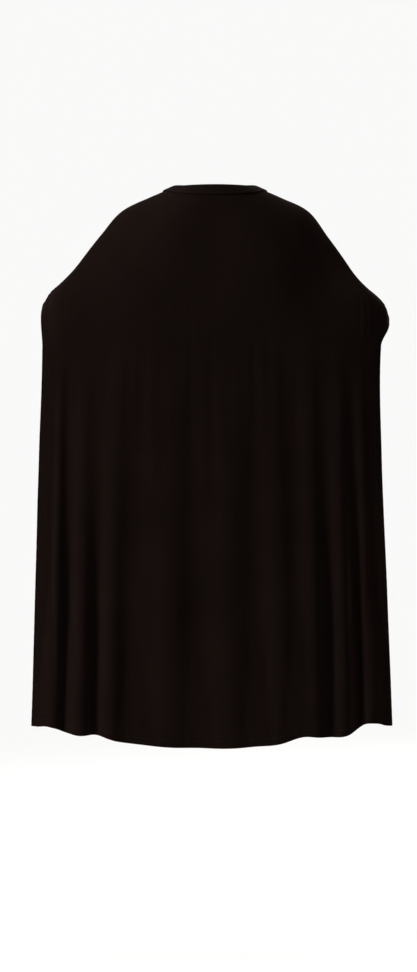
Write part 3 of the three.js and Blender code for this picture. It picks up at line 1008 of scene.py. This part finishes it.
def hook_nylon():
    """Moulded nylon of the hook tape, with fine flow marks and a little wear."""
    surface = Surface("hook_nylon", {
        "Specular IOR Level": 0.3,
        "Coat Weight": 0.03,
    })
    where = surface.place()
    flow = surface.noise(surface.scaled(where, (180, 180, 900)), 1.0, 3.0)
    wear = surface.noise(where, 260.0, 5.0)
    surface.colour(
        HOOK_COLOUR,
        (flow, 0.85, 1.15, FINE),
        (wear, 0.8, 1.25, BROAD),
    )
    surface.rough(wear, 0.3, 0.5, BROAD)
    surface.relief((flow, 0.06, 0.4), (wear, 0.03, 0.3))
    return surface.material


def loop_pile():
    """Brushed nylon loops: soft, matt and slightly matted."""
    surface = Surface("loop_pile", {
        "Sheen Weight": 0.08,
        "Sheen Roughness": 0.5,
        "Specular IOR Level": 0.12,
    })
    where = surface.place()
    tufts = surface.noise(where, 1400.0, 4.0)
    matted = surface.noise(where, 220.0, 3.0)
    surface.colour(
        LOOP_COLOUR,
        (tufts, 0.6, 1.4, FINE),
        (matted, 0.75, 1.25, BROAD),
    )
    surface.rough(matted, 0.75, 0.95, BROAD)
    surface.relief((matted, 0.3, 0.5), (tufts, 0.1, 0.8))
    return surface.material


def label_satin():
    """Blank woven satin ribbon: close cross ribs, a firmer selvedge and a soft gloss along the ribs."""
    surface = Surface("label_satin", {
        "Sheen Weight": 0.15,
        "Specular IOR Level": 0.45,
        "Anisotropic": 0.5,
    })
    where = surface.map()
    axes = surface.axes(where)
    ribs = surface.ridges(axes["X"], SATIN_PITCH)
    from_middle = surface.sum("ABSOLUTE", axes["Y"])
    selvedge = surface.ranged(from_middle, *MASK, SELVEDGE)
    crinkle = surface.noise(where, 160.0, 4.0)
    surface.colour(
        LABEL_COLOUR,
        (ribs, 0.94, 1.06, WAVE),
        (crinkle, 0.93, 1.05, FINE),
        (selvedge, 1.0, 0.88, MASK),
    )
    surface.rough(crinkle, 0.3, 0.48, FINE)
    surface.relief((crinkle, 0.15, 0.4), (ribs, 0.05, 0.7), (selvedge, 0.1, 0.5))
    return surface.material


# ---- the cape's pieces

HEM_SEAM = (0.17 * MM, -0.86 * MM)  # a seam's heights on the outer and the inner face
BINDING_SEAM = (1.58 * MM, -2.9 * MM)

# The folded sections below are in millimetres, as points of (inset, offset, lift).
HEM_CLOTH = 0.26
BINDING_CLOTH = 0.4
CORNER_LIFT = 0.75  # the bottom hem steps over the edge hems at the corners
CORNER_STEP = (10.5 * MM, 14 * MM)  # between these distances from the free edges
HEM_PAST_EDGES = 0.5 * MM
HEM_FOLD = (
    [(0.9, 0.20, 0), (0.5, 0.24, 0)]
    + arc((0, -0.24), (0.5, 0.51), 90, 270, 8, lifts=(0, 1))
    + [(1.5, -0.76, 1), (4, -0.79, 1), (7, -0.78, 1), (8, -0.70, 1), (9, -0.77, 1)]
    + arc((9.5, -0.58), (0.45, 0.18), 270, 450, 5, lifts=(1, 1))
    + [(8, -0.41, 1), (5, -0.40, 1), (1.6, -0.40, 1)]
)
BINDING_FOLD = (
    [(3, -2.25, 0), (6, -2.25, 0), (8, -2.2, 0)]
    + arc((9.3, -2.6), (0.5, 0.3), 90, -90, 6)
    + [(8, -2.7, 0), (6.5, -2.95, 0), (3, -2.95, 0), (0, -2.85, 0)]
    + arc((-1.7, -0.6), (2.4, 2.22), 270, 90, 14)
    + [(0, 1.66, 0), (3, 1.72, 0), (6.5, 1.68, 0), (8, 1.38, 0)]
    + arc((9.3, 1.12), (0.5, 0.35), 90, -90, 6)
    + [(8, 0.72, 0), (6, 0.74, 0), (3, 0.72, 0)]
)


def bend_with_cape(piece, slot, *nodes):
    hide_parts(*nodes)
    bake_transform(piece)


def ride_on(piece, body, slot, *nodes):
    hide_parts(*nodes)
    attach(piece, body)


def make_cape(cloth, material):
    faces = grid_faces(cloth.rows, cloth.columns)
    piece = mesh_object("cape_cloth", cloth.points.reshape(-1, 3), faces, material)
    middle = cloth.columns // 2
    across = cloth.across - cloth.across[:, middle : middle + 1]
    down = np.broadcast_to(cloth.down[:, middle : middle + 1], across.shape)
    set_cloth_map(piece, np.stack([across, down], axis=-1).reshape(-1, 2))
    thicken(piece, CLOTH_THICKNESS)
    bend_with_cape(piece, "cape_cloth", "upper_cape_panel", "lower_cape_panel")
    return piece


def make_edge_hems(cloth, material, thread):
    made = []
    for side in ("left", "right"):
        hem = edge_ribbon(f"{side}_edge_hem_fold", cloth, side, HEM_FOLD, HEM_CLOTH, material)
        bend_with_cape(hem, "cape_cloth", f"{side}_edge_hem_upper", f"{side}_edge_hem_lower")
        seam = seam_on_edge(f"{side}_edge_stitches", cloth, side, HEM_SEAM, thread)
        nodes = [f"{side}_edge_stitching_upper", f"{side}_edge_stitching_lower"]
        bend_with_cape(seam, "thread", *nodes)
        made += [hem, seam]
    return made


def make_bottom_hem(cloth, material, thread):
    from_edge = np.minimum(cloth.across[-1], cloth.across[-1, -1] - cloth.across[-1])
    lift = CORNER_LIFT * (1 - smooth(*CORNER_STEP, from_edge))
    fold = (HEM_FOLD, HEM_CLOTH, material)
    hem = edge_ribbon("bottom_hem_fold", cloth, "hem", *fold, lift, HEM_PAST_EDGES)
    ride_on(hem, HANGING, "cape_cloth", "bottom_hem")
    seam = seam_on_edge("bottom_hem_stitches", cloth, "hem", HEM_SEAM, thread, lift)
    ride_on(seam, HANGING, "thread", "bottom_hem_stitching")
    return [hem, seam]


def make_binding(cloth, material, thread):
    fold = edge_ribbon("neck_binding_fold", cloth, "neck", BINDING_FOLD, BINDING_CLOTH, material)
    ride_on(fold, SHOULDERS, "binding_cloth", "neck_binding")
    seam = seam_on_edge("neck_binding_stitches", cloth, "neck", BINDING_SEAM, thread)
    ride_on(seam, SHOULDERS, "thread", "neck_binding_stitching")
    return [fold, seam]


TAB_CORNER = 4 * MM
TAB_EDGE = 0.6 * MM
TAPE_CORNER = 2 * MM
TAPE_EDGE = 0.15 * MM
TAPE_BASE = 0.5 * MM
SEAM_MARGIN = 1.2 * MM
HOOK_PITCH = (1.3 * MM, 1.1 * MM)
HOOK_MARGIN = 1.0 * MM
HOOK_SHAPE = [(0, 0.1), (0, -0.55), (0.1, -0.85), (0.3, -0.98), (0.5, -0.85), (0.56, -0.62)]
HOOK_RADII = np.array([0.13, 0.11, 0.1, 0.09, 0.08, 0.05]) * MM
HOOK_SIDES = 5
LOOP_PITCH = (0.75 * MM, 0.7 * MM)
LOOP_MARGIN = 0.7 * MM
LOOP_STEPS = 6
LOOP_LEAN = 0.5
LEAN_SHARE = 0.4
LOOP_SIZES = (0.65, 1.0)
LOOP_HALF_WIDTH = 0.45  # as a share of its height
LOOP_ROOT = 0.02 * MM
LOOP_RADIUS = 0.05 * MM
LOOP_SIDES = 4


def make_tab(side, body, material):
    low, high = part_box(f"{side}_closure_tab")
    piece = soft_plate(f"{side}_throat_tab", low, high, TAB_CORNER, TAB_EDGE, material)
    ride_on(piece, body, "binding_cloth", f"{side}_closure_tab")


def tape_places(low, high, pitch, margin):
    """Staggered places over a tape's face."""
    pitch_x, pitch_z = pitch
    places = []
    rows = int((high[2] - low[2] - 2 * margin) / pitch_z)
    columns = int((high[0] - low[0] - 2 * margin) / pitch_x)
    for row in range(rows + 1):
        for column in range(columns + 1):
            x = low[0] + margin + (column + 0.5 * (row % 2)) * pitch_x
            if x < high[0] - margin:
                places.append((x, low[2] + margin + row * pitch_z))
    return places


def join_pieces(name, pieces, material):
    build = bmesh.new()
    for piece in pieces:
        build.from_mesh(piece.data)
        discard(piece)
    mesh = bpy.data.meshes.new(name)
    build.to_mesh(mesh)
    build.free()
    mesh.materials.append(material)
    return add_object(name, mesh)


def make_hook_tape(nylon, thread):
    low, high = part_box("hook_tape")
    face = high[1] - TAPE_BASE
    base = soft_plate("hook_base", (low[0], face, low[2]), high, TAPE_CORNER, TAPE_EDGE, nylon)
    reach = face - low[1]
    paths = []
    for count, (x, z) in enumerate(tape_places(low, high, HOOK_PITCH, HOOK_MARGIN)):
        way = 1 if count % 2 else -1
        paths.append([(x + way * a * reach, face + b * reach, z) for a, b in HOOK_SHAPE])
    hooks = tubes("hooks", np.array(paths), HOOK_RADII, HOOK_SIDES, nylon)
    piece = join_pieces("hook_tape_hooks", [base, hooks], nylon)
    ride_on(piece, TAB, "hook_tape", "hook_tape")
    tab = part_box("left_closure_tab")
    seam = tape_seam("hook_tape_stitches", low, high, [(face, -1), (tab[1][1], 1)], thread)
    ride_on(seam, TAB, "thread", "hook_tape_stitching")


def make_loop_tape(pile, thread):
    low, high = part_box("loop_tape")
    face = low[1] + TAPE_BASE
    top = (high[0], face, high[2])
    base = soft_plate("loop_base", low, top, TAPE_CORNER, TAPE_EDGE, pile)
    reach = high[1] - face
    paths = []
    for x, z in tape_places(low, high, LOOP_PITCH, LOOP_MARGIN):
        lean = random.uniform(-LOOP_LEAN, LOOP_LEAN)
        turn = random.uniform(0, math.pi)
        size = random.uniform(*LOOP_SIZES)
        path = []
        for step in range(LOOP_STEPS + 1):
            angle = math.pi * step / LOOP_STEPS
            across = LOOP_HALF_WIDTH * reach * math.cos(angle)
            height = size * reach * math.sin(angle)
            px = x + across * math.cos(turn) + lean * LEAN_SHARE * height
            pz = z + across * math.sin(turn)
            path.append((px, face - LOOP_ROOT + height, pz))
        paths.append(path)
    radii = [LOOP_RADIUS] * (LOOP_STEPS + 1)
    loops = tubes("loops", np.array(paths), radii, LOOP_SIDES, pile)
    piece = join_pieces("loop_tape_pile", [base, loops], pile)
    ride_on(piece, SHOULDERS, "loop_tape", "loop_tape")
    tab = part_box("right_closure_tab")
    seam = tape_seam("loop_tape_stitches", low, high, [(face, 1), (tab[0][1], -1)], thread)
    ride_on(seam, SHOULDERS, "thread", "loop_tape_stitching")


def tape_seam(name, low, high, faces, thread):
    """A box of stitches round a tape, seen on the tape and on the far face of its tab."""
    centre = ((low[0] + high[0]) / 2, (low[2] + high[2]) / 2)
    width = high[0] - low[0] - 2 * SEAM_MARGIN
    height = high[2] - low[2] - 2 * SEAM_MARGIN
    rows = []
    for face, facing in faces:
        rows += rectangle_seam(centre, face, width, height, facing)
    return stitch_piece(name, rows, thread)


LABEL_CLOTH = 0.18 * MM
LABEL_FLARE = 1.6 * MM
LABEL_CUP = 0.25 * MM
LABEL_BACK_GAP = 0.3 * MM
LABEL_FRONT_GAP = 0.1 * MM
LABEL_ROWS = 15
LABEL_TURNS = 9
LABEL_COLUMNS = 13
LABEL_SEAM_DROP = 2 * MM
LABEL_SEAM_INSET = 1 * MM


def make_label(satin, thread):
    """A folded ribbon label, sewn in by its two ends, with its loop hanging a little forward."""
    low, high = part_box("care_label")
    back, front = low[1] + LABEL_BACK_GAP, high[1] - LABEL_FRONT_GAP
    middle = (back + front) / 2
    bend = (front - back) / 2
    drop = high[2] - low[2] - bend
    path = [(share * drop, back) for share in np.linspace(0, 1, LABEL_ROWS)]
    for step in range(1, LABEL_TURNS):
        turn = math.pi * step / LABEL_TURNS
        path.append((drop + bend * math.sin(turn), middle - bend * math.cos(turn)))
    path += [(share * drop, front) for share in np.linspace(1, 0, LABEL_ROWS)]
    columns = np.linspace(low[0], high[0], LABEL_COLUMNS)
    points = []
    for fall, y in path:
        for x in columns:
            curl = LABEL_FLARE * (fall / drop) ** 2
            cup = LABEL_CUP * (2 * x / (high[0] - low[0])) ** 2 * (fall / drop)
            points.append((x, y + curl + cup, high[2] - fall))
    faces = grid_faces(len(path) - 1, LABEL_COLUMNS - 1)
    piece = mesh_object("satin_label", points, faces, satin)
    set_cloth_map(piece, [(run, x) for run in line_lengths(np.array(path)) for x in columns])
    thicken(piece, LABEL_CLOTH)
    ride_on(piece, LABEL, "label_satin", "care_label")
    face, level = front + LABEL_CLOTH / 2, high[2] - LABEL_SEAM_DROP
    sides = (low[0] + LABEL_SEAM_INSET, high[0] - LABEL_SEAM_INSET)
    ends = np.array([(x, face, level) for x in sides])
    seam = stitch_piece("label_stitches", [(ends, np.array([[0, 1.0, 0]] * 2))], thread)
    ride_on(seam, LABEL, "thread", "care_label_stitching")


def make_object():
    """Every piece of the cape. Its flat size and area are worked out from the finished drape."""
    cloth_material, binding = thin_cloth(), binding_cloth()
    thread, pile, nylon = sewing_thread(), loop_pile(), hook_nylon()
    cloth = make_drape()
    cape = make_cape(cloth, cloth_material)
    trims = make_edge_hems(cloth, cloth_material, thread)
    trims += make_bottom_hem(cloth, cloth_material, thread)
    trims += make_binding(cloth, binding, thread)
    make_tab("left", TAB, binding)
    make_tab("right", SHOULDERS, binding)
    make_hook_tape(nylon, thread)
    make_loop_tape(pile, thread)
    make_label(label_satin(), thread)
    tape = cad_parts["neck_stay_tape"].data
    tape.materials.clear()
    tape.materials.append(stay_tape())
    widths, lengths = cloth.across[:, -1], cloth.down[-1]
    area = float((widths * np.gradient(cloth.down[:, cloth.columns // 2])).sum())


random.seed(7)
make_camera()
make_world()
make_lights()
make_floor()
make_object()
view = bpy.context.scene.view_settings
view.view_transform = "Standard"
view.look = "None"
